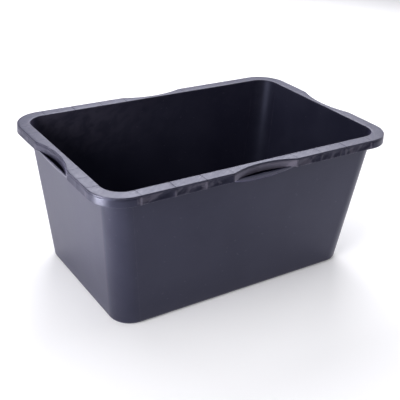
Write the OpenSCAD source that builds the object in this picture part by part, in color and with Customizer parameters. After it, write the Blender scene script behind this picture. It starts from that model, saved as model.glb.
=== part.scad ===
// Rectangular mortar mixing tub, about 90 litres, with four moulded hand grips.
// Millimetres. The tub stands on z = 0, centred on the z axis: X is its long direction,
// Y its short one, and the front is at -Y.

/* [Overall] */
// Length over the rim
length = 750; // [700:5:800]
// Width over the rim
width = 492; // [460:2:530]
// Height to the top of the rim
height = 340; // [300:5:380]
// Length of the base
base_length = 624; // [600:2:650]
// Width of the base
base_width = 380; // [366:2:400]

/* [Shell] */
// Thickness of the side walls
wall_t = 3; // [2:0.5:4]
// Thickness of the floor
floor_t = 3.5; // [3:0.5:5]
// Outside radius of the edge between floor and walls
edge_r = 10; // [8:1:14]
// Outside corner radius of the walls at the base
base_corner_r = 50; // [45:1:56]
// Outside corner radius of the walls at the mouth
mouth_corner_r = 47; // [42:1:54]
// Depth of the recess under the floor
recess_h = 1.2; // [0.5:0.1:1.5]
// Width of the ring that the tub stands on
foot_w = 24; // [15:1:40]

/* [Rim] */
// Reach of the rim from the inside of the wall to its outer edge
rim_w = 29; // [26:0.5:32]
// Thickness of the flat flange on top
flange_t = 3.5; // [2.5:0.5:4.5]
// Full height of the rim, flange and skirt together
rim_h = 20; // [18:1:24]
// Thickness of the skirt
skirt_t = 2.6; // [2:0.2:3]
// How far the skirt leans outwards over its height
skirt_lean = 1; // [0:0.2:1.6]
// How far the skirt's lower edge is drawn in between two ribs
skirt_bow = 2; // [0:0.2:2.4]
// Outside corner radius of the rim
rim_corner_r = 71; // [64:1:75]

/* [Ribs] */
// Thickness of one rib
rib_t = 2; // [1.5:0.5:3]
// First rib past the grip on a long side, as a share of the way from the grip's end to the corner
long_rib_1 = 0.3; // [0.2:0.01:0.4]
// Second rib on a long side
long_rib_2 = 0.62; // [0.5:0.01:0.7]
// Third rib on a long side
long_rib_3 = 0.96; // [0.88:0.01:0.97]
// First rib past the grip on a short side
short_rib_1 = 0.48; // [0.35:0.01:0.6]
// Second rib on a short side
short_rib_2 = 0.94; // [0.82:0.01:0.96]

/* [Grips] */
// Length of a grip
grip_len = 162; // [140:2:170]
// Depth of the grip's curve into the rim
grip_depth = 16.5; // [12:0.5:18]
// Depth of the finger cup at the middle of the grip
cup_depth = 21; // [16:1:26]
// Depth of the finger cup at its two ends
cup_end_depth = 4; // [3.5:0.5:6]
// Thickness of the finger cup
cup_t = 2.6; // [2:0.2:3]
// Height of the cup's lip above the skirt's lower edge
lip_rise = 2.5; // [1.5:0.5:4]
// How far the cup's lip stands in from the rim's outer face
lip_inset = 4.5; // [3:0.5:6]

/* [Hidden] */
X = 0;
Y = 1;
colour = [0.16, 0.16, 0.20];
edge_steps = 6;    // steps round the edge between floor and wall
corner_steps = 12; // steps round a corner
grip_steps = 18;   // steps along a grip
cup_steps = 8;     // steps down a finger cup
bay_steps = 4;     // steps between two ribs of the skirt
cut = 1;           // how far a cut starts outside the face that it opens

rim_half = [length / 2, width / 2];
base_half = [base_length / 2, base_width / 2];
mouth_half = [for (half = rim_half) half - rim_w + wall_t];
flange_z = height - flange_t;
skirt_z = height - rim_h;
lip_z = skirt_z + lip_rise;
grip_half = grip_len / 2;
grip_r = (grip_half * grip_half + grip_depth * grip_depth) / (2 * grip_depth);
slope = atan((mouth_half[X] + mouth_half[Y] - base_half[X] - base_half[Y]) / 2 / height);

SIDES = ["front", "right", "back", "left"];
CORNERS = ["back_right", "back_left", "front_left", "front_right"];

function mix(a, b, share) = a + (b - a) * share;

// Half-size of the walls' outer face at a height, and of the rectangle through the corners' centres.
function wall_half(axis, z) = mix(base_half[axis], mouth_half[axis], z / height);
function corner_half(axis, z) = mix(
    base_half[axis] - base_corner_r, mouth_half[axis] - mouth_corner_r, max(z, edge_r) / height);

// The wall's section as [distance from the middle, height]: round the floor's edge, then up to the flange.
function edge_centre(axis) =
    base_half[axis] + edge_r * (1 - sin(slope)) * tan(slope) - edge_r * cos(slope);
function edge_point(axis, radius, angle) =
    [edge_centre(axis) + radius * sin(angle), edge_r - radius * cos(angle)];
function edge_angle(step) = (90 - slope) * step / edge_steps;
function outer_section(axis) = [
    for (step = [0:edge_steps]) edge_point(axis, edge_r, edge_angle(step)),
    [wall_half(axis, flange_z), flange_z]];
function inner_section(axis) = [
    for (step = [0:edge_steps])
        edge_point(axis, edge_r - mix(floor_t, wall_t, step / edge_steps), edge_angle(step)),
    [wall_half(axis, flange_z) - wall_t / cos(slope), flange_z]];
function mouth_inner(axis) = wall_half(axis, flange_z) - wall_t / cos(slope);

// Depth of a grip's curve at a place along the side, and the place of each rib on one half of a side.
function grip_inset(u) =
    abs(u) < grip_half ? sqrt(grip_r * grip_r - u * u) - (grip_r - grip_depth) : 0;
function skirt_end(axis) = rim_half[axis] - rim_corner_r;
function ribs_at(axis) = concat(
    [grip_half + rib_t / 2],
    [for (share = axis == X ? [long_rib_1, long_rib_2, long_rib_3] : [short_rib_1, short_rib_2])
        mix(grip_half, skirt_end(axis), share)]);

// The skirt's stations on one half of a side, past the grip, as [place, share of the bow].
function skirt_stations(axis) =
    let (marks = concat([grip_half], ribs_at(axis), [skirt_end(axis)]))
    [for (i = [0:len(marks) - 2], step = [0:bay_steps])
        if (step > 0 || i == 0)
            [mix(marks[i], marks[i + 1], step / bay_steps), bay_share(i, len(marks) - 2, step)]];
function bay_share(bay, last_bay, step) =
    bay == 0 || bay == last_bay ? 0 : sin(180 * step / bay_steps);

// Two triangles for each cell of a grid whose corners are numbered by the list of lists rows.
function cells(rows) = [
    for (i = [0:len(rows) - 2], k = [0:len(rows[0]) - 2]) each [
        [rows[i][k], rows[i][k + 1], rows[i + 1][k + 1]],
        [rows[i][k], rows[i + 1][k + 1], rows[i + 1][k]]]];
function numbered(count, size, first) = [
    for (i = [0:count - 1]) [for (k = [0:size - 1]) first + i * size + k]];
function ends(outer, inner, k) = [for (i = [0:len(outer) - 1]) [outer[i][k], inner[i][k]]];

// A closed solid between two grids of points that have the same rows and columns.
module thick_patch(outer, inner) {
    count = len(outer);
    size = len(outer[0]);
    out = numbered(count, size, 0);
    in = numbered(count, size, count * size);
    first = [for (k = [0:size - 1]) [in[0][k], out[0][k]]];
    last = [for (k = [0:size - 1]) [out[count - 1][k], in[count - 1][k]]];
    polyhedron(
        points = concat([for (row = outer) each row], [for (row = inner) each row]),
        faces = concat(
            cells(out),
            [for (face = cells(in)) [face[2], face[1], face[0]]],
            [for (face = cells(first)) [face[2], face[1], face[0]]],
            [for (face = cells(last)) [face[2], face[1], face[0]]],
            [for (face = cells(ends(out, in, 0))) [face[2], face[1], face[0]]],
            cells(ends(out, in, size - 1))));
}

// A side is drawn with its run along X and its outside at -Y, then turned to its place.
module at_side(side) {
    rotate([0, 0, search([side], SIDES)[0] * 90]) children();
}
function run_axis(side) = side == "front" || side == "back" ? X : Y;
function out_axis(side) = 1 - run_axis(side);

// A corner is drawn in the quarter where X and Y are positive, then mirrored to its place.
module at_corner(corner) {
    i = search([corner], CORNERS)[0];
    mirror([i == 1 || i == 2 ? 1 : 0, 0, 0])
        mirror([0, i >= 2 ? 1 : 0, 0])
            children();
}

// Points of a corner's quarter turn about a centre, with a reach along X and one along Y.
function corner_arc(centre, reach) = [
    for (step = [0:corner_steps])
        let (angle = 90 * step / corner_steps)
        [centre[X] + reach[X] * cos(angle), centre[Y] + reach[Y] * sin(angle)]];

function reversed(list) = [for (i = [len(list) - 1:-1:0]) list[i]];
function four_corners(quarter) = concat(
    quarter,
    [for (p = reversed(quarter)) [-p[X], p[Y]]],
    [for (p = quarter) [-p[X], -p[Y]]],
    [for (p = reversed(quarter)) [p[X], -p[Y]]]);

module floor_panel() {
    centre = [corner_half(X, 0), corner_half(Y, 0)];
    reach = [edge_centre(X), edge_centre(Y)] - centre;
    shift = [foot_w, foot_w] / 2;
    color(colour) difference() {
        linear_extrude(floor_t) polygon(four_corners(corner_arc(centre, reach)));
        translate([0, 0, -cut]) linear_extrude(recess_h + cut)
            polygon(four_corners(corner_arc(centre - shift, reach - shift)));
    }
}

function wall_grid(run, section) = [
    for (end = [-1, 1]) [for (p = section) [end * corner_half(run, p[1]), -p[0], p[1]]]];

module wall(side) {
    run = run_axis(side);
    out = out_axis(side);
    color(colour) at_side(side)
        thick_patch(wall_grid(run, outer_section(out)), wall_grid(run, inner_section(out)));
}

function corner_grid(x_section, y_section) = [
    for (step = [0:corner_steps])
        let (angle = 90 * step / corner_steps)
        [for (k = [0:len(x_section) - 1])
            let (z = x_section[k][1], cx = corner_half(X, z), cy = corner_half(Y, z))
            [cx + (x_section[k][0] - cx) * cos(angle), cy + (y_section[k][0] - cy) * sin(angle), z]]];

module corner_wall(corner) {
    color(colour) at_corner(corner) thick_patch(
        corner_grid(outer_section(X), outer_section(Y)),
        corner_grid(inner_section(X), inner_section(Y)));
}

// The two straight stretches of the flange on a side.
module flange(side) {
    run = run_axis(side);
    out = out_axis(side);
    outer = rim_half[out] - skirt_lean;
    color(colour) at_side(side) for (end = [-1, 1])
        translate([0, 0, flange_z]) linear_extrude(flange_t) polygon([
            [end * grip_half, -outer],
            [end * skirt_end(run), -outer],
            [end * corner_half(run, flange_z), -mouth_inner(out)],
            [end * grip_half, -mouth_inner(out)]]);
}

module corner_flange(corner) {
    rim_centre = [skirt_end(X), skirt_end(Y)];
    mouth_centre = [corner_half(X, flange_z), corner_half(Y, flange_z)];
    reach = rim_corner_r - skirt_lean;
    color(colour) at_corner(corner)
        translate([0, 0, flange_z]) linear_extrude(flange_t) polygon(concat(
            corner_arc(rim_centre, [reach, reach]),
            reversed(corner_arc(mouth_centre, [mouth_inner(X), mouth_inner(Y)] - mouth_centre))));
}

// The narrowed stretch of flange that the hand closes round.
module grip_flange(side) {
    out = out_axis(side);
    outer = rim_half[out] - skirt_lean;
    places = [for (step = [0:grip_steps]) mix(-grip_half, grip_half, step / grip_steps)];
    color(colour) at_side(side)
        translate([0, 0, flange_z]) linear_extrude(flange_t) polygon(concat(
            [for (u = places) [u, -outer + grip_inset(u)]],
            [[grip_half, -mouth_inner(out)], [-grip_half, -mouth_inner(out)]]));
}

// One station of the skirt: its lower and upper edge, on the face that is a thickness in from the outside.
function skirt_row(u, half, low_z, inset, bow, depth) = [
    [u, -(half - inset - bow - depth - skirt_lean * (low_z - skirt_z) / (flange_z - skirt_z)), low_z],
    [u, -(half - inset - skirt_lean - depth), flange_z]];

// The two straight stretches of the skirt on a side, drawn in a little between the ribs.
module skirt(side) {
    half = rim_half[out_axis(side)];
    stations = skirt_stations(run_axis(side));
    color(colour) at_side(side) for (end = [0, 1]) mirror([end, 0, 0]) thick_patch(
        [for (s = stations) skirt_row(s[0], half, skirt_z, 0, skirt_bow * s[1], 0)],
        [for (s = stations) skirt_row(s[0], half, skirt_z, 0, skirt_bow * s[1], skirt_t)]);
}

function corner_skirt_grid(depth) = [
    for (step = [0:corner_steps])
        let (angle = 90 * step / corner_steps, direction = [cos(angle), sin(angle)])
        [for (edge = [[skirt_z, 0], [flange_z, skirt_lean]])
            let (p = [skirt_end(X), skirt_end(Y)] + (rim_corner_r - edge[1] - depth) * direction)
            [p[X], p[Y], edge[0]]]];

module corner_skirt(corner) {
    color(colour) at_corner(corner)
        thick_patch(corner_skirt_grid(0), corner_skirt_grid(skirt_t));
}

// The stretch of skirt that follows the grip's curve. It ends above the lip of the finger cup.
module grip_skirt(side) {
    half = rim_half[out_axis(side)];
    places = [for (step = [0:grip_steps]) mix(-grip_half, grip_half, step / grip_steps)];
    color(colour) at_side(side) thick_patch(
        [for (u = places) skirt_row(u, half, lip_z, grip_inset(u), 0, 0)],
        [for (u = places) skirt_row(u, half, lip_z, grip_inset(u), 0, skirt_t)]);
}

// The cup under a grip: a straight lip just behind the rim's face, rounded down and in to the wall.
function cup_drop(u) =
    mix(cup_end_depth, cup_depth, sqrt(max(0, 1 - (u / grip_half) * (u / grip_half))));
function cup_row(u, out, depth) =
    let (
        drop = cup_drop(u) - depth,
        half = rim_half[out] - lip_inset - depth,
        reach = half - wall_half(out, lip_z - drop))
    [for (step = [0:cup_steps])
        let (angle = 90 * step / cup_steps)
        [u, -(half - reach * (1 - cos(angle))), lip_z - drop * sin(angle)]];

module grip_cup(side) {
    out = out_axis(side);
    places = [for (step = [0:grip_steps]) grip_half * sin(90 * (2 * step / grip_steps - 1))];
    color(colour) at_side(side) thick_patch(
        [for (u = places) reversed(cup_row(u, out, 0))],
        [for (u = places) reversed(cup_row(u, out, cup_t))]);
}

// The upright ribs between wall and skirt, under the flange.
module ribs(side) {
    out = out_axis(side);
    skirt_low = rim_half[out] - skirt_t;
    skirt_high = skirt_low - skirt_lean;
    color(colour) at_side(side) for (end = [-1, 1], u = ribs_at(run_axis(side)))
        translate([end * u + rib_t / 2, 0, 0]) rotate([90, 0, -90]) linear_extrude(rib_t) polygon([
            [wall_half(out, skirt_z), skirt_z],
            [skirt_low, skirt_z],
            [skirt_high, flange_z],
            [wall_half(out, flange_z), flange_z]]);
}

floor_panel();
for (side = SIDES) {
    wall(side);
    flange(side);
    skirt(side);
    ribs(side);
    grip_flange(side);
    grip_skirt(side);
    grip_cup(side);
}
for (corner = CORNERS) {
    corner_wall(corner);
    corner_flange(corner);
    corner_skirt(corner);
}
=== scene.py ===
"""Mortar mixing tub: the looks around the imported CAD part.

The real tub is one moulding, so every piece here is a region of one continuous skin. The pieces share the
same stations round the rim and the same levels up the walls, and meet without a visible seam.
"""
import math

import bmesh
import bpy
import numpy as np
from mathutils import Matrix, Vector


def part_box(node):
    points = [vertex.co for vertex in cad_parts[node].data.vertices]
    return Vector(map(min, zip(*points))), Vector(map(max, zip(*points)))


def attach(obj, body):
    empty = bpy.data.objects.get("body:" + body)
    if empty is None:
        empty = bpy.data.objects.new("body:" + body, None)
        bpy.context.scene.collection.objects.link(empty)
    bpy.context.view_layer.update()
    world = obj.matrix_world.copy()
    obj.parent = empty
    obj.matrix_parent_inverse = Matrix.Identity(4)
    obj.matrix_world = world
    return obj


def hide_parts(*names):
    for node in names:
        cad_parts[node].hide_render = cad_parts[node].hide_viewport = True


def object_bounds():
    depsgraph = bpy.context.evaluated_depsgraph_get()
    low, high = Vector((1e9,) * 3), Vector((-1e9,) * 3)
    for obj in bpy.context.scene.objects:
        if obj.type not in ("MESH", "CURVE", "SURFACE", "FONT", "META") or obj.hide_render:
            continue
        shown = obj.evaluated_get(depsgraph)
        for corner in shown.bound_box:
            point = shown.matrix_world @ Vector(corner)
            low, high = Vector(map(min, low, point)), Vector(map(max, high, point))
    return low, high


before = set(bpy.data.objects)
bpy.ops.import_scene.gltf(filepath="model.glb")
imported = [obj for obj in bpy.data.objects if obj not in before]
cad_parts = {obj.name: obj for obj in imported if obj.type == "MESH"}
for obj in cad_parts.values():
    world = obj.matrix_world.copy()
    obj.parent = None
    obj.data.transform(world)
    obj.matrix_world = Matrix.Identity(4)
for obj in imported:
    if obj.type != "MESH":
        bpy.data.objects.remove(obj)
cad_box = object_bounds()

MM = 0.001
BODY = "root"
SIDES = ("front", "right", "back", "left")
CORNERS = {"back_right": (1, 1), "back_left": (-1, 1), "front_left": (-1, -1), "front_right": (1, -1)}

# ---------------------------------------------------------------- sizes

# From the frame.
RIM_HALF = np.array([cad_box[1][0], cad_box[1][1]])
HEIGHT = cad_box[1][2]
FLANGE_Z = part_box("front_flange")[0].z
SKIRT_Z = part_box("front_skirt")[0].z
LIP_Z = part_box("front_grip_skirt")[0].z
CUP_DEPTH = LIP_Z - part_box("front_grip_cup")[0].z
GRIP_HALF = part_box("front_grip_cup")[1].x
LIP_INSET = RIM_HALF[1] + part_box("front_grip_cup")[0].y
SKIRT_END = np.array([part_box("front_skirt")[1].x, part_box("right_skirt")[1].y])
MOUTH_INNER = np.array([-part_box("left_flange")[1].x, -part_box("front_flange")[1].y])
CORNER_TOP = np.array([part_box("front_wall")[1].x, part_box("right_wall")[1].y])
FLOOR_EDGE = np.array([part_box("floor_panel")[1].x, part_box("floor_panel")[1].y])
FLOOR_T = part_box("floor_panel")[1].z
WALL_TOP = np.array([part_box("right_wall")[1].x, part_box("back_wall")[1].y])

# Sizes of the moulding that no single node's box gives.
WALL_T = 3 * MM
EDGE_R = 10 * MM
BASE_CORNER_R = 50 * MM
SKIRT_T = 2.6 * MM
SKIRT_LEAN = 1 * MM
GRIP_DEPTH = 16.5 * MM
CUP_END = 4 * MM
CUP_T = 2.6 * MM
RIB_T = 2 * MM
RECESS = 1.2 * MM
RECESS_EDGE = 1.5 * MM
FOOT_W = 24 * MM
RIB_SHARES = (0.3, 0.62, 0.96), (0.48, 0.94)  # for the sides that run along X, and those along Y

# Soft edges and slight faults of a real moulding. A pair is for the sides along X, and those along Y.
INNER_EDGE_R = 1.5 * MM
OUTER_EDGE_R = 1.6 * MM
LOW_EDGE_R = 0.8 * MM
KINK_SOFTNESS = 0.5 * MM
LIP_NOTCH = 0.9 * MM
GRIP_DROP = 1.2 * MM
RIB_SINK = 0.35 * MM
RIB_SINK_W = 1.2 * MM
WALL_BOW = np.array([0.1, 0.7]) * MM
BAY_DEPTH = np.array([2.3, 0.5]) * MM
BAY_EDGE = 4 * MM
SWIRL = 0.5 * MM
UNDERCUT = 0.9 * MM
UNDERCUT_H = 1.4 * MM

CORNER_STEPS = 30
EDGE_STEPS = 8
WALL_LEVELS = 12
SHARP_ANGLE = math.radians(34)

# The walls' slope and the width of the base depend on each other, and settle in a few rounds.
SLOPE = math.atan(np.mean((WALL_TOP - FLOOR_EDGE) / FLANGE_Z))
for _ in range(3):
    BASE_HALF = FLOOR_EDGE + EDGE_R * (math.cos(SLOPE) - (1 - math.sin(SLOPE)) * math.tan(SLOPE))
    SLOPE = math.atan(np.mean((WALL_TOP - BASE_HALF) / FLANGE_Z))


def run_axis(side):
    """0 where the side runs along X, 1 where it runs along Y."""
    return 0 if side in ("front", "back") else 1


def ribs_at(side):
    """Places of the ribs on one half of a side: one at the grip's end, the others at shares of the way on."""
    run = run_axis(side)
    span = SKIRT_END[run] - GRIP_HALF
    return [GRIP_HALF + RIB_T / 2] + [GRIP_HALF + share * span for share in RIB_SHARES[run]]


def to_side(side, points):
    """Turns points given as (along, outward, up) from the front's directions to a side's."""
    along, outward, up = np.moveaxis(np.asarray(points, float), -1, 0)
    turned = {
        "front": (along, -outward), "right": (outward, along),
        "back": (-along, outward), "left": (-outward, -along)}[side]
    return np.stack([turned[0], turned[1], up], axis=-1)


def to_corner(corner, points):
    """Mirrors points from the quarter where X and Y are positive to a corner."""
    return np.asarray(points, float) * np.array([*CORNERS[corner], 1])


def warp(points):
    """The slight inward bow that the long flat walls take as the moulding cools."""
    share = points[:, :2] / RIM_HALF
    rise = (points[:, 2] / HEIGHT) ** 2
    moved = points.copy()
    moved[:, 0] -= WALL_BOW[0] * share[:, 0] * (1 - share[:, 1] ** 2).clip(0) * rise
    moved[:, 1] -= WALL_BOW[1] * share[:, 1] * (1 - share[:, 0] ** 2).clip(0) * rise
    return moved


# ---------------------------------------------------------------- meshes

def solid(name, lofts, material):
    """One piece from closed lofts, each a list of rings with the same number of points."""
    build = bmesh.new()
    for rings in lofts:
        rings = np.asarray(rings, float)
        count, size = rings.shape[:2]
        corners = [build.verts.new(p) for p in warp(rings.reshape(-1, 3))]
        for i in range(count - 1):
            for k in range(size):
                a, b = i * size + k, i * size + (k + 1) % size
                build.faces.new((corners[a], corners[b], corners[b + size], corners[a + size]))
        build.faces.new(corners[:size])
        build.faces.new(corners[-size:])
    bmesh.ops.recalc_face_normals(build, faces=build.faces)
    mesh = bpy.data.meshes.new(name)
    build.to_mesh(mesh)
    build.free()
    mesh.shade_smooth()
    mesh.set_sharp_from_angle(angle=SHARP_ANGLE)
    mesh.materials.append(material)
    piece = bpy.data.objects.new(name, mesh)
    bpy.context.scene.collection.objects.link(piece)
    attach(piece, BODY)
    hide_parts(name)


# ---------------------------------------------------------------- walls and floor

def corner_half(axis, z):
    """Place of a corner's centre at a height."""
    base = BASE_HALF[axis] - BASE_CORNER_R
    top = CORNER_TOP[axis]
    share = (max(z, EDGE_R) - EDGE_R) / (FLANGE_Z - EDGE_R)
    at_edge = base + (top - base) * EDGE_R / FLANGE_Z
    return at_edge + (top - at_edge) * share


def wall_half(axis, z):
    """Place of a wall's outer face at a height."""
    return BASE_HALF[axis] + (WALL_TOP[axis] - BASE_HALF[axis]) * z / FLANGE_Z


def wall_section(axis):
    """The wall's outline as (outward, up): up the outside, then down the inside."""
    centre = FLOOR_EDGE[axis]
    turn = np.linspace(0, math.pi / 2 - SLOPE, EDGE_STEPS + 1)
    outer = [(centre + EDGE_R * math.sin(a), EDGE_R * (1 - math.cos(a))) for a in turn]
    thick = np.linspace(FLOOR_T, WALL_T, EDGE_STEPS + 1)
    inner = [
        (centre + (EDGE_R - t) * math.sin(a), EDGE_R - (EDGE_R - t) * math.cos(a))
        for a, t in zip(turn, thick)]
    tops = (WALL_TOP[axis], FLANGE_Z), (MOUTH_INNER[axis], FLANGE_Z)
    shares = np.linspace(0, 1, WALL_LEVELS + 1)[1:, None]
    rise = [
        list(map(tuple, np.array(line[-1]) + (np.array(top) - line[-1]) * shares))
        for line, top in zip((outer, inner), tops)]
    return np.array(outer + rise[0] + (inner + rise[1])[::-1])


SECTIONS = wall_section(0), wall_section(1)
SIDE_SHARES = np.linspace(-1, 1, 33)
QUARTER = np.linspace(0, math.pi / 2, CORNER_STEPS + 1)


def wall_rings(side):
    run = run_axis(side)
    section = SECTIONS[1 - run]
    return to_side(side, [
        [(share * corner_half(run, z), outward, z) for outward, z in section] for share in SIDE_SHARES])


def corner_wall_rings(corner):
    rings = []
    for angle in QUARTER:
        ring = []
        for (x, z_x), (y, z_y) in zip(*SECTIONS):
            z = (z_x + z_y) / 2
            centre_x, centre_y = corner_half(0, z), corner_half(1, z)
            reach_x, reach_y = x - centre_x, y - centre_y
            ring.append((centre_x + reach_x * math.cos(angle), centre_y + reach_y * math.sin(angle), z))
        rings.append(ring)
    return to_corner(corner, rings)


def floor_outline(inset, z):
    """The floor's outline, drawn in by inset, at a height."""
    centre = np.array([corner_half(0, 0), corner_half(1, 0)])
    shift = min(inset, FOOT_W / 2)
    reach = FLOOR_EDGE - centre - inset + shift
    arc = [(*(centre - shift + reach * (math.cos(a), math.sin(a))), z) for a in QUARTER]
    outline = []
    for i, (corner, next_side) in enumerate(zip(CORNERS, ("back", "left", "front", "right"))):
        outline += list(to_corner(corner, arc if i % 2 == 0 else arc[::-1]))
        run = run_axis(next_side)
        half, outward = centre[run] - shift, FLOOR_EDGE[1 - run] - inset
        middle = [(-share * half, outward, z) for share in SIDE_SHARES[1:-1]]
        outline += list(to_side(next_side, middle)[::-1])
    return outline


def make_shell(plastic):
    solid("floor_panel", [[
        floor_outline(0, FLOOR_T), floor_outline(0, 0), floor_outline(FOOT_W, 0),
        floor_outline(FOOT_W + RECESS_EDGE, RECESS)]], plastic)
    for side in SIDES:
        solid(f"{side}_wall", [wall_rings(side)], plastic)
    for corner in CORNERS:
        solid(f"{corner}_corner_wall", [corner_wall_rings(corner)], plastic)


# ---------------------------------------------------------------- rim

def grip_inset(along):
    """How far the rim's outer face is drawn in at a place along a side. The kink at a grip's end is soft."""
    radius = (GRIP_HALF ** 2 + GRIP_DEPTH ** 2) / (2 * GRIP_DEPTH)
    u = min(abs(along), GRIP_HALF * 1.3)
    raw = math.sqrt(radius ** 2 - u ** 2) - (radius - GRIP_DEPTH)
    return KINK_SOFTNESS * np.logaddexp(0, raw / KINK_SOFTNESS)


def near_rib(side, along):
    """1 on a rib, falling to 0 a few millimetres away."""
    nearest = min(abs(abs(along) - rib) for rib in ribs_at(side))
    return math.exp(-(nearest / RIB_SINK_W) ** 2)


def bay_share(side, along):
    """0 on a rib, rising to 1 within a few millimetres, as the skirt sinks back between two ribs."""
    ribs = ribs_at(side)
    if not ribs[0] < abs(along) < ribs[-1]:
        return 0.0
    nearest = min(abs(abs(along) - rib) for rib in ribs)
    return 1 - math.exp(-(max(0.0, nearest - RIB_T / 2) / BAY_EDGE) ** 2)


def side_places(side, low, high):
    """Places for stations from low to high, close together near the ribs and the ends of the grip."""
    spacing = 6 * MM
    close = (-4, -2.6, -1.6, -0.8, 0, 0.8, 1.6, 2.6, 4)
    places = set(np.linspace(low, high, round((high - low) / spacing) + 1).round(6))
    for mark in (*ribs_at(side), GRIP_HALF):
        places |= {round(sign * mark + step * MM, 6) for step in close for sign in (-1, 1)}
    inside = sorted(p for p in places if low + 0.3 * MM < p < high - 0.3 * MM)
    return [low, *inside, high]


class Station:
    """A place on the rim: its inner and outer point seen from above, the way out, and its local faults.

    bay is how far the skirt sinks back, rough is the share of the swirl in it, rib is 1 on a rib, and along
    is the place along the side.
    """

    def __init__(self, inner, outer, out, bay=0.0, rough=0.0, rib=0.0, along=0.0):
        self.inner, self.outer, self.out = (np.array(v, float) for v in (inner, outer, out))
        self.bay, self.rough, self.rib, self.along = bay, rough, rib, along

    def point(self, share, offset, z):
        """A point at a share of the way from inner to outer, then offset along the way out, at a height."""
        return (*(self.inner + (self.outer - self.inner) * share + self.out * offset), z)


def side_station(side, along):
    run = run_axis(side)
    outer_half = RIM_HALF[1 - run] - SKIRT_LEAN
    last = ribs_at(side)[-1] + 1.5 * MM
    share = max(0.0, (abs(along) - last) / (SKIRT_END[run] - last))
    inner_along = along - math.copysign((SKIRT_END[run] - CORNER_TOP[run]) * share, along)
    bay = BAY_DEPTH[run] * bay_share(side, along)
    return Station(
        (inner_along, MOUTH_INNER[1 - run]), (along, outer_half - grip_inset(along)), (0, 1),
        bay, bay / BAY_DEPTH[0], near_rib(side, along), along)


def corner_station(angle):
    out = np.array([math.cos(angle), math.sin(angle)])
    inner = CORNER_TOP + (MOUTH_INNER - CORNER_TOP) * out
    outer = SKIRT_END + (RIM_HALF - SKIRT_LEAN - SKIRT_END) * out
    return Station(inner, outer, out)


def flange_ring(station):
    """Up the inner edge, over the top and down the outer edge."""
    top = HEIGHT - RIB_SINK * station.rib
    turn = np.linspace(0, math.pi / 2, 6)
    ring = [station.point(0, 0, FLANGE_Z)]
    for a in turn:
        across, fall = INNER_EDGE_R * (1 - math.cos(a)), INNER_EDGE_R * (1 - math.sin(a))
        ring.append(station.point(0, across, top - fall))
    ring += [station.point(share, 0, top) for share in (0.25, 0.5, 0.75)]
    for a in turn:
        across, fall = OUTER_EDGE_R * (1 - math.sin(a)), OUTER_EDGE_R * (1 - math.cos(a))
        ring.append(station.point(1, -across, top - fall))
    ring += [station.point(1, 0, FLANGE_Z), station.point(0.5, 0, FLANGE_Z)]
    return ring


def skirt_ring(station, low_z):
    """Down the outer face, round the lower edge and up the inner face."""
    drop = FLANGE_Z - SKIRT_Z
    levels = [*np.linspace(FLANGE_Z, FLANGE_Z - 2 * UNDERCUT_H, 5)]
    levels += [*np.linspace(levels[-1], low_z + LOW_EDGE_R, 11)[1:]]
    turn = np.linspace(0, math.pi / 2, 5)

    def out(z):
        """The face leans out as it falls. In a bay it sinks back, and comes out again at a low lip."""
        fall = (FLANGE_Z - z) / drop
        sunk = math.sin(math.pi * min(1.0, fall / 0.84) ** 0.7) ** 0.8 if fall < 0.84 else 0.0
        swirl = SWIRL * math.sin(station.along / (7 * MM) + 5 * fall) * math.sin(math.pi * min(fall, 1.0))
        undercut = UNDERCUT * math.exp(-((FLANGE_Z - z) / UNDERCUT_H) ** 2)
        return SKIRT_LEAN * fall - undercut - station.bay * (0.3 * fall + 0.7 * sunk) + station.rough * swirl

    ring = [station.point(1, out(z), z) for z in levels]
    outer, inner = out(low_z), out(low_z) - SKIRT_T
    for a in turn[1:]:
        across, rise = LOW_EDGE_R * (1 - math.cos(a)), LOW_EDGE_R * (1 - math.sin(a))
        ring.append(station.point(1, outer - across, low_z + rise))
    for a in turn[:-1]:
        across, rise = LOW_EDGE_R * (1 - math.sin(a)), LOW_EDGE_R * (1 - math.cos(a))
        ring.append(station.point(1, inner + across, low_z + rise))
    ring += [station.point(1, out(z) - SKIRT_T, z) for z in levels[::-1]]
    return ring


def low_skirt_ring(station):
    return skirt_ring(station, SKIRT_Z)


def grip_skirt_ring(station):
    return skirt_ring(station, LIP_Z - GRIP_DROP)


def side_rings(side, low, high, ring):
    return to_side(side, [ring(side_station(side, p)) for p in side_places(side, low, high)])


def rib_solid(side, along):
    """A rib's plate under the flange. It enters the wall and the skirt a little at its two ends."""
    out = 1 - run_axis(side)
    enter = 0.5 * MM
    low, high = RIM_HALF[out] - SKIRT_T, RIM_HALF[out] - SKIRT_T - SKIRT_LEAN
    profile = [
        (wall_half(out, SKIRT_Z) - enter, SKIRT_Z), (low + enter, SKIRT_Z + LOW_EDGE_R),
        (high + enter, FLANGE_Z), (wall_half(out, FLANGE_Z) - enter, FLANGE_Z)]
    middle = along + math.copysign(RIB_T / 2, along) * (abs(along) < GRIP_HALF + RIB_T)
    return to_side(side, [
        [(middle + step, outward, z) for outward, z in profile] for step in (-RIB_T / 2, RIB_T / 2)])


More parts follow.
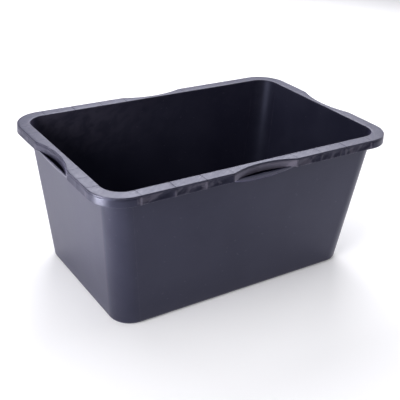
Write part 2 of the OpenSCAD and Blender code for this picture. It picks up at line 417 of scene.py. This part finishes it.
def cup_ring(side, along):
    """The finger cup's section: down and in along the outside, back up the inside, over the rounded lip."""
    out = 1 - run_axis(side)
    full = CUP_END + (CUP_DEPTH - CUP_END) * math.sqrt(max(0.0, 1 - (along / GRIP_HALF) ** 2))
    lip_face = RIM_HALF[out] - LIP_INSET
    lip_top = LIP_Z + LIP_NOTCH * math.exp(-((along / (3.5 * MM)) ** 2))
    into_wall = 0.4 * MM
    turn = np.linspace(0, math.pi / 2, 15)

    def face(depth):
        half, drop = lip_face - depth, full - depth
        reach = half - wall_half(out, LIP_Z - drop) + into_wall
        return [(along, half - reach * (1 - math.cos(a)), LIP_Z - drop * math.sin(a)) for a in turn]

    lip = np.linspace(0, math.pi, 7)[1:-1]
    radius = CUP_T / 2
    over = [
        (along, lip_face - radius - radius * math.cos(a), lip_top + 0.5 * radius * (math.sin(a) - 1))
        for a in lip]
    outer, inner = face(0), face(CUP_T)
    outer[0] = (along, lip_face, LIP_Z - 0.5 * radius)
    inner[0] = (along, lip_face - CUP_T, LIP_Z - 0.5 * radius)
    return outer[::-1] + over[::-1] + inner


def make_rim(rims, corner_top, smooth):
    """rims holds the materials of the flange, the skirt and the grips' faces, for each of the run axes."""
    for side in SIDES:
        run = run_axis(side)
        top, skirt, grip_face = rims[run]
        end = SKIRT_END[run]
        spans = (-end, -GRIP_HALF), (GRIP_HALF, end)
        solid(f"{side}_flange", [side_rings(side, *span, flange_ring) for span in spans], top)
        solid(f"{side}_skirt", [side_rings(side, *span, low_skirt_ring) for span in spans], skirt)
        grip = (-GRIP_HALF, GRIP_HALF)
        solid(f"{side}_grip_flange", [side_rings(side, *grip, flange_ring)], top)
        solid(f"{side}_grip_skirt", [side_rings(side, *grip, grip_skirt_ring)], grip_face)
        places = GRIP_HALF * np.sin(np.linspace(-math.pi / 2, math.pi / 2, 41))
        solid(f"{side}_grip_cup", [to_side(side, [cup_ring(side, p) for p in places])], smooth)
        ribs = [sign * rib for rib in ribs_at(side) for sign in (-1, 1)]
        solid(f"{side}_ribs", [rib_solid(side, rib) for rib in ribs], smooth)
    stations = [corner_station(angle) for angle in QUARTER]
    for corner in CORNERS:
        solid(f"{corner}_corner_flange", [to_corner(corner, [flange_ring(s) for s in stations])], corner_top)
        solid(f"{corner}_corner_skirt", [to_corner(corner, [low_skirt_ring(s) for s in stations])], smooth)


# ---------------------------------------------------------------- materials

class Nodes:
    """Short calls for building a material's node tree."""

    def __init__(self, name):
        self.material = bpy.data.materials.new(name)
        self.material.use_nodes = True
        self.tree = self.material.node_tree
        self.shader = self.tree.nodes["Principled BSDF"]
        self.place = self.tree.nodes.new("ShaderNodeTexCoord").outputs["Object"]

    def node(self, kind, inputs=(), **settings):
        made = self.tree.nodes.new("ShaderNode" + kind)
        for key, value in settings.items():
            setattr(made, key, value)
        for key, value in dict(inputs).items():
            if isinstance(value, bpy.types.NodeSocket):
                self.tree.links.new(value, made.inputs[key])
            else:
                made.inputs[key].default_value = value
        return made

    def noise(self, scale, detail=3.0, rough=0.5, place=None, distortion=0.0):
        return self.node("TexNoise", {
            "Vector": place or self.place, "Scale": scale, "Detail": detail, "Roughness": rough,
            "Distortion": distortion}).outputs["Fac"]

    def stretched(self, turn, scale):
        """Coordinates turned and then stretched, for streaks."""
        turned = self.node("Mapping", {"Vector": self.place, "Rotation": turn}).outputs["Vector"]
        return self.node("Mapping", {"Vector": turned, "Scale": scale}).outputs["Vector"]

    def remap(self, value, low, high, to_low=0.0, to_high=1.0):
        return self.node("MapRange", {
            "Value": value, "From Min": low, "From Max": high, "To Min": to_low, "To Max": to_high},
            interpolation_type="SMOOTHSTEP").outputs["Result"]

    def math(self, operation, a, b):
        return self.node("Math", {0: a, 1: b}, operation=operation).outputs[0]

    def mix(self, share, a, b):
        mixer = self.node("MixRGB", {"Fac": share, "Color1": a, "Color2": b})
        return mixer.outputs["Color"]

    def bump(self, height, depth, below=None):
        inputs = {"Height": height, "Distance": depth, "Strength": 1.0}
        if below:
            inputs["Normal"] = below
        return self.node("Bump", inputs).outputs["Normal"]

    def link(self, output, name):
        self.tree.links.new(output, self.shader.inputs[name])


DARK = (0.0085, 0.0090, 0.0165, 1)
LIGHT = (0.0150, 0.0155, 0.0255, 1)
DUST = (0.052, 0.048, 0.066, 1)
# A light worn tone. Along the skirt's ribs it is also painted on as a highlight.
WEAR_AND_HIGHLIGHT = (0.150, 0.138, 0.175, 1)
SHADE = (0.002, 0.002, 0.004, 1)
MIRROR_TINT = (0.66, 0.69, 1.0, 1)
SHEEN_TINT = (0.55, 0.5, 1.0, 1)
ROUGHNESS = 0.35


def haze(n, facing):
    """Dried cement haze inside the tub, high on the back wall and towards its left end."""
    place = n.node("SeparateXYZ", {"Vector": n.place}).outputs
    way = n.node("SeparateXYZ", {"Vector": facing}).outputs
    inner = n.math("MULTIPLY", n.remap(place["Y"], 0.14, 0.17), n.remap(way["Y"], -0.3, -0.8))
    left = n.remap(place["X"], 0.10, -0.30, 0.15, 1.0)
    high = n.remap(place["Z"], 0.17, 0.31)
    return n.math("MULTIPLY", n.math("MULTIPLY", inner, left), high)


def rib_line(n, run, wide, narrow):
    """1 along the ribs of the sides that run along an axis, falling to 0 at a distance from them."""
    along = n.math("ABSOLUTE", n.node("SeparateXYZ", {"Vector": n.place}).outputs["XY"[run]], 0.0)
    nearest = 1.0
    for rib in ribs_at(("front", "right")[run]):
        distance = n.math("ABSOLUTE", n.math("SUBTRACT", along, rib), 0.0)
        nearest = n.math("MINIMUM", distance, nearest)
    return n.remap(nearest, wide, narrow)


def plastic_material(name, mottle, streaks, worn, handled=0.0, gloss=0.40, run=None, rib_light_strength=1.0):
    """Dark purple-grey plastic. Mottle, streaks, worn and handled are shares from 0 to 1.

    On a rim, run says along which axis its ribs are spaced. Along them the flange's top gets painted shade
    lines and the skirt painted highlight lines, of the strength given.
    """
    n = Nodes(name)
    slow = n.noise(7, 3, 0.55)
    patches = n.noise(62, 4, 0.62, distortion=0.8)
    grain = n.noise(900, 2, 0.5)
    orange_peel = n.noise(260, 2, 0.5)
    streak = n.noise(55, 3, 0.6, n.stretched((0, 0, math.radians(-38)), (1, 9, 1)))
    flow = n.noise(5.5, 1, 0.4, n.stretched((0, 0, 0), (1, 1, 0.35)))
    scratch = n.remap(n.noise(150, 2, 0.45, n.stretched((0.5, 0.35, 0.9), (1, 0.06, 1))), 0.70, 0.74)

    colour = n.mix(n.remap(slow, 0.3, 0.7), DARK, LIGHT)
    smears = n.noise(24, 2, 0.5, n.stretched((0.3, 0.5, 0.4), (1, 1, 1.6)), 1.2)
    least, most = 0.60 * handled, 0.40 * mottle + 0.50 * handled
    colour = n.mix(n.remap(smears, 0.46, 0.68, least, most), colour, WEAR_AND_HIGHLIGHT)
    colour = n.mix(n.remap(patches, 0.52, 0.78, 0.0, 0.25 * mottle + 0.04), colour, DUST)
    colour = n.mix(n.math("MULTIPLY", n.remap(streak, 0.5, 0.75), 0.35 * streaks), colour, DUST)
    edge = n.node("Bevel", {"Radius": 2.5 * MM})
    facing = n.node("NewGeometry").outputs["Normal"]
    turn = n.node("VectorMath", {0: edge.outputs["Normal"], 1: facing}, operation="DOT_PRODUCT")
    on_edge = n.remap(turn.outputs["Value"], 0.995, 0.90)
    edge_wear = n.math("MULTIPLY", on_edge, n.remap(patches, 0.35, 0.65))
    colour = n.mix(n.math("MULTIPLY", edge_wear, worn), colour, DUST)
    colour = n.mix(n.math("MULTIPLY", scratch, 0.45), colour, DUST)
    dried = n.math("MULTIPLY", haze(n, facing), n.remap(smears, 0.36, 0.66, 0.25, 0.70))
    colour = n.mix(dried, colour, DUST)
    if run is not None:
        if streaks:
            # Flange top: painted shade, a near black line along each rib that stands for the shading of its
            # sink mark.
            share = n.remap(slow, 0.40, 0.60, 0.2 * rib_light_strength, 0.8 * rib_light_strength)
            mark = n.math("MULTIPLY", rib_line(n, run, 1.8 * MM, 0.6 * MM), share)
            colour = n.mix(mark, colour, SHADE)
        else:
            # Skirt: a painted highlight, a light line along each rib in the worn tone.
            share = n.remap(smears, 0.35, 0.62, 0.08 * rib_light_strength, 0.62 * rib_light_strength)
            painted_rib_highlight = n.math("MULTIPLY", rib_line(n, run, 3.6 * MM, 1.0 * MM), share)
            colour = n.mix(painted_rib_highlight, colour, WEAR_AND_HIGHLIGHT)
    n.link(colour, "Base Color")

    rough = n.remap(patches, 0.3, 0.7, ROUGHNESS - 0.06 * mottle, ROUGHNESS + 0.10 * mottle)
    rough = n.math("ADD", rough, n.remap(streak, 0.3, 0.7, -0.05 * streaks, 0.08 * streaks))
    rough = n.math("ADD", rough, n.remap(slow, 0.3, 0.7, -0.02, 0.03))
    if run is not None and streaks:
        rough = n.math("ADD", rough, n.math("MULTIPLY", mark, 0.35))
    n.link(rough, "Roughness")

    shape = n.bump(flow, 1.1 * MM)
    shape = n.bump(patches, (0.10 + 0.55 * mottle) * MM, shape)
    shape = n.bump(streak, 0.10 * streaks * MM, shape)
    shape = n.bump(orange_peel, 0.035 * MM, shape)
    shape = n.bump(grain, 0.014 * MM, shape)
    n.link(shape, "Normal")
    n.shader.inputs["Specular IOR Level"].default_value = gloss
    n.shader.inputs["Specular Tint"].default_value = MIRROR_TINT
    n.shader.inputs["Sheen Weight"].default_value = 0.12
    n.shader.inputs["Sheen Roughness"].default_value = 0.5
    n.shader.inputs["Sheen Tint"].default_value = SHEEN_TINT
    return n.material


def rim_materials(run, mottle, handled, rib_light_strength):
    """The flange, the skirt and the grips' faces of the sides that run along an axis."""
    return (
        plastic_material(f"tub_plastic_top_{run}", 0.15, 1.0, 0.6, run=run, rib_light_strength=rib_light_strength),
        plastic_material(f"tub_plastic_skirt_{run}", mottle, 0.0, 0.9, gloss=0.2, run=run, rib_light_strength=rib_light_strength),
        plastic_material(f"tub_plastic_grip_{run}", 0.8 * mottle, 0.0, 0.8, handled=handled, gloss=0.35))


def floor_material():
    material = bpy.data.materials.new("studio_floor")
    material.use_nodes = True
    shader = material.node_tree.nodes["Principled BSDF"]
    shader.inputs["Base Color"].default_value = (0.94, 0.94, 0.94, 1)
    shader.inputs["Roughness"].default_value = 0.8
    shader.inputs["Specular IOR Level"].default_value = 0.2
    shader.inputs["Emission Color"].default_value = (1, 1, 1, 1)
    shader.inputs["Emission Strength"].default_value = 0.11
    return material


# ---------------------------------------------------------------- studio

CAMERA_PLACE = (-0.9181, -1.3624, 0.9941)
CAMERA_BACK = (-0.4978, -0.7366, 0.4578)
CAMERA_ROLL = math.radians(3.06)
CAMERA_LENS = 69.01
FLOOR_SIZE = 14
COOL = (0.96, 0.955, 1.0)
WARM = (1.0, 0.97, 0.88)
LIGHT_TARGET = (0, 0, 0.25)
# name, place, size, power
LIGHTS = (
    ("back_right", (1.4, 2.0, 2.15), (2.2, 1.3), 74),
    ("back_high", (0.0, 2.5, 2.6), (3.0, 1.8), 22),
    ("overhead", (0.0, 0.0, 3.0), (2.5, 2.5), 28),
    ("left", (-2.5, 0.3, 1.2), (2.0, 1.6), 12),
    ("left_front", (-2.1, -0.8, 1.1), (1.2, 1.2), 46),
    ("right", (2.5, 0.0, 1.4), (2.0, 1.4), 18),
    ("right_back", (2.4, 1.2, 1.6), (1.6, 1.4), 3))


def make_camera():
    """The view is over the front left corner, from a little above."""
    back = Vector(CAMERA_BACK).normalized()
    level = Vector((0, 0, 1)).cross(back).normalized()
    upright = back.cross(level)
    right = level * math.cos(CAMERA_ROLL) + upright * math.sin(CAMERA_ROLL)
    up = back.cross(right)
    data = bpy.data.cameras.new("camera")
    data.lens = CAMERA_LENS
    data.sensor_width = 36
    camera = bpy.data.objects.new("camera", data)
    turn = Matrix((right, up, back)).transposed().to_4x4()
    camera.matrix_world = Matrix.Translation(CAMERA_PLACE) @ turn
    bpy.context.scene.collection.objects.link(camera)
    bpy.context.scene.camera = camera


def make_floor():
    mesh = bpy.data.meshes.new("studio_floor")
    corners = [(x * FLOOR_SIZE, y * FLOOR_SIZE, 0) for x, y in ((-1, -1), (1, -1), (1, 1), (-1, 1))]
    mesh.from_pydata(corners, [], [(0, 1, 2, 3)])
    mesh.materials.append(floor_material())
    floor = bpy.data.objects.new("studio_floor", mesh)
    bpy.context.scene.collection.objects.link(floor)


def area_light(name, place, target, size, power, colour):
    data = bpy.data.lights.new(name, "AREA")
    data.shape = "RECTANGLE"
    data.size, data.size_y = size
    data.energy = power
    data.color = colour
    lamp = bpy.data.objects.new(name, data)
    lamp.location = place
    lamp.rotation_euler = (Vector(target) - Vector(place)).to_track_quat("-Z", "Y").to_euler()
    bpy.context.scene.collection.objects.link(lamp)
    return lamp


def make_studio():
    scene = bpy.context.scene
    scene.view_settings.view_transform = "Standard"
    world = bpy.data.worlds.new("studio")
    world.use_nodes = True
    world.node_tree.nodes["Background"].inputs["Color"].default_value = (*COOL, 1)
    world.node_tree.nodes["Background"].inputs["Strength"].default_value = 0.08
    scene.world = world
    for name, place, size, power in LIGHTS:
        area_light(name, place, LIGHT_TARGET, size, power, COOL)
    # A low narrow beam that the near corner of the skirt mirrors as a bright band.
    low_left = area_light("low_left", (-1.2, -0.2, 0.14), (-0.36, -0.23, 0.32), (0.65, 0.14), 2.4, WARM)
    low_left.data.spread = math.radians(50)


make_camera()
make_floor()
make_studio()
smooth = plastic_material("tub_plastic_smooth", 0.0, 0.0, 0.5)
rims = rim_materials(0, 1.0, 1.0, 1.0), rim_materials(1, 0.25, 0.05, 0.4)
corner_top = plastic_material("tub_plastic_top_corner", 0.15, 1.0, 0.6)
make_shell(smooth)
make_rim(rims, corner_top, smooth)
